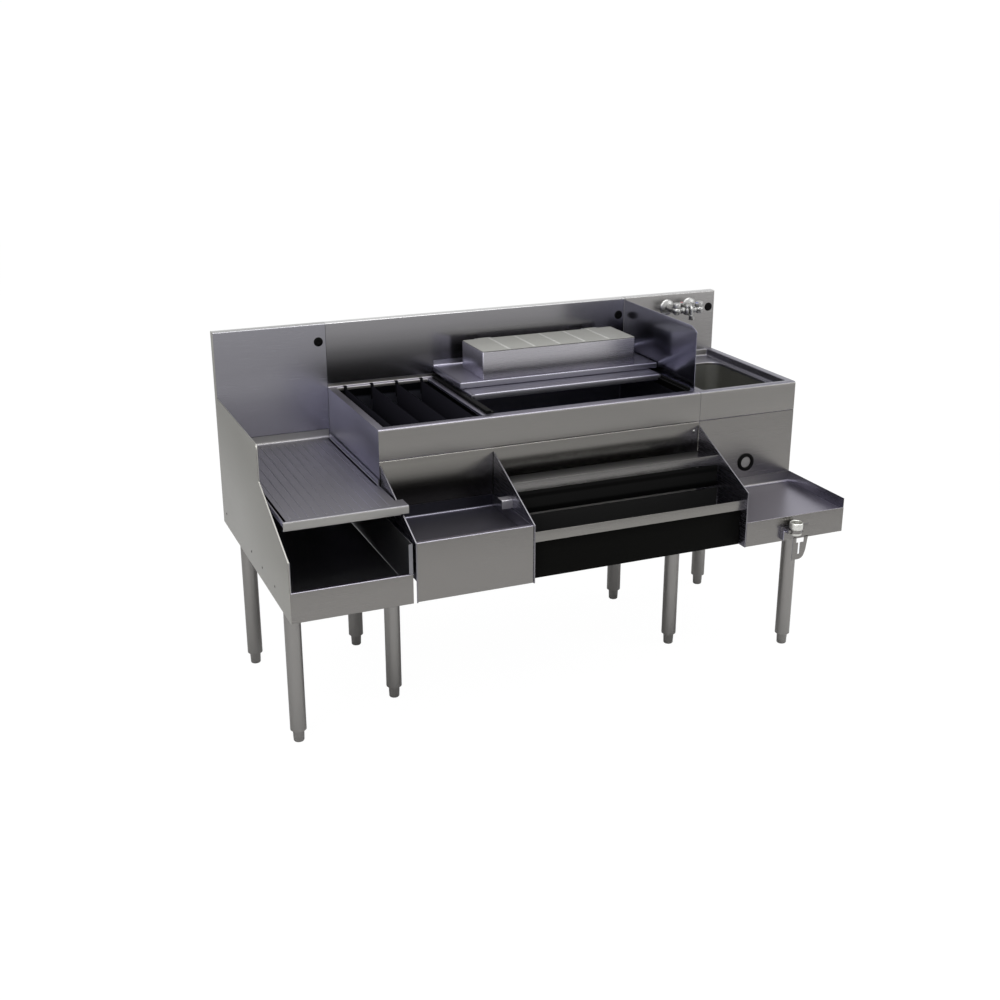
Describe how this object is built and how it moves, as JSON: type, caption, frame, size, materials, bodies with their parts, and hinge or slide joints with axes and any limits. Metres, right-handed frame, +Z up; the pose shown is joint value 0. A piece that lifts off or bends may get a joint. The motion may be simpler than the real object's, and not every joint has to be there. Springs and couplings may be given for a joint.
{
  "type": "bar sink with ice bin",
  "caption": "Stainless bar station: drainboard with storage, ice bin with bottle well and sliding cover, bottle rails, garnish box and a sink with faucet, on legs.",
  "frame": {"origin": "on the floor, at the centre of the station's outline seen from above", "axes": "+X to the right along the station, +Y to the back, +Z up"},
  "size_m": [1.524, 0.772, 0.94],
  "materials": {
    "steel_front": "fine brushed stainless sheet, upright faces",
    "steel_top": "fine brushed stainless sheet, level tops, slightly cool",
    "steel_inside": "brushed stainless in deep shade inside the bays",
    "polished_steel": "polished stainless splash guard",
    "black_plastic": "black plastic plugs, slides and hose ring",
    "foam": "foamed-in-place rigid insulation",
    "pan_plastic": "plastic garnish pans",
    "lid_plastic": "pale translucent plastic lid",
    "chrome": "chrome-plated brass",
    "brass": "plain brass lock nuts",
    "cup_metal": "pale satin metal cup",
    "leg_steel": "brushed tube and cast feet",
    "screw_steel": "dark screw heads"
  },
  "bodies": {
    "station": {"end_panel_left": "steel_front", "end_panel_inner": "steel_inside", "drainboard": "steel_top", "storage_tray": "steel_inside", "backsplash_left": "steel_front", "backsplash_centre": "steel_front", "backsplash_right": "steel_front", "splash_plugs": "black_plastic", "centre_deck": "steel_top", "centre_side_left": "steel_front", "centre_side_right": "steel_front", "centre_front_panel": "steel_front", "centre_underpan": "steel_inside", "bin_liner": "steel_inside", "well_liner": "steel_inside", "insulation": "foam", "bin_drain": "chrome", "bottle_dividers": "steel_inside", "garnish_shelf": "steel_top", "cover_guides": "black_plastic", "tray_box": "steel_front", "tray_pans": "pan_plastic", "splash_guard": "polished_steel", "sink_deck": "steel_top", "sink_bowl": "steel_inside", "sink_drain": "chrome", "sink_frame": "steel_inside", "faucet_body": "chrome", "faucet_nuts": "brass", "sink_front_panel": "steel_front", "sink_side_right": "steel_front", "hose_grommet": "black_plastic", "lower_shelf": "steel_front", "gun_holder": "steel_front", "rail_plate_left": "steel_front", "rail_plate_mid": "steel_front", "rail_plate_right": "steel_front", "blender_shelf": "steel_front", "rail_tray_upper": "steel_inside", "rail_tray_lower": "steel_inside", "rail_bars": "steel_front", "leg_sockets": "steel_inside", "leg_tubes_front": "leg_steel", "leg_tubes_back": "leg_steel", "case_screws": "screw_steel"},
    "spout": {"faucet_spout": "chrome"},
    "hot": {"hot_handle": "chrome"},
    "cold": {"cold_handle": "chrome"},
    "cover": {"sliding_cover": "steel_top"},
    "lid": {"tray_lid": "lid_plastic"},
    "basket": {"drain_basket": "chrome"},
    "cup": {"gun_cup": "cup_metal"},
    "foot_body_1": {"foot_1": "leg_steel"},
    "foot_body_2": {"foot_2": "leg_steel"},
    "foot_body_3": {"foot_3": "leg_steel"},
    "foot_body_4": {"foot_4": "leg_steel"},
    "foot_body_5": {"foot_5": "leg_steel"},
    "foot_body_6": {"foot_6": "leg_steel"},
    "foot_body_7": {"foot_7": "leg_steel"},
    "foot_body_8": {"foot_8": "leg_steel"}
  },
  "joints": [
    {"name": "spout_swivel", "type": "hinge", "parent": "station", "child": "spout", "pos_m": [0.637, 0.301, 0.912], "axis": [0, 0, 1], "range_deg": [-45, 45]},
    {"name": "hot_turn", "type": "hinge", "parent": "station", "child": "hot", "pos_m": [0.599, 0.301, 0.914], "axis": [0, 0, 1], "range_deg": [-90, 0]},
    {"name": "cold_turn", "type": "hinge", "parent": "station", "child": "cold", "pos_m": [0.675, 0.301, 0.914], "axis": [0, 0, 1], "range_deg": [0, 90]},
    {"name": "cover_slide", "type": "slide", "parent": "station", "child": "cover", "axis": [0, -1, 0], "range_m": [0, 0.136]},
    {"name": "lid_hinge", "type": "hinge", "parent": "station", "child": "lid", "pos_m": [0, 0.316, 0.867], "axis": [-1, 0, 0], "range_deg": [0, 100]},
    {"name": "basket_lift", "type": "slide", "parent": "station", "child": "basket", "axis": [0, 0, 1], "range_m": [0, 0.2]},
    {"name": "cup_lift", "type": "slide", "parent": "station", "child": "cup", "axis": [0, 0, 1], "range_m": [0, 0.06]},
    {"name": "foot_1_level", "type": "slide", "parent": "station", "child": "foot_body_1", "axis": [0, 0, -1], "range_m": [0, 0.025]},
    {"name": "foot_2_level", "type": "slide", "parent": "station", "child": "foot_body_2", "axis": [0, 0, -1], "range_m": [0, 0.025]},
    {"name": "foot_3_level", "type": "slide", "parent": "station", "child": "foot_body_3", "axis": [0, 0, -1], "range_m": [0, 0.025]},
    {"name": "foot_4_level", "type": "slide", "parent": "station", "child": "foot_body_4", "axis": [0, 0, -1], "range_m": [0, 0.025]},
    {"name": "foot_5_level", "type": "slide", "parent": "station", "child": "foot_body_5", "axis": [0, 0, -1], "range_m": [0, 0.025]},
    {"name": "foot_6_level", "type": "slide", "parent": "station", "child": "foot_body_6", "axis": [0, 0, -1], "range_m": [0, 0.025]},
    {"name": "foot_7_level", "type": "slide", "parent": "station", "child": "foot_body_7", "axis": [0, 0, -1], "range_m": [0, 0.025]},
    {"name": "foot_8_level", "type": "slide", "parent": "station", "child": "foot_body_8", "axis": [0, 0, -1], "range_m": [0, 0.025]}
  ]
}
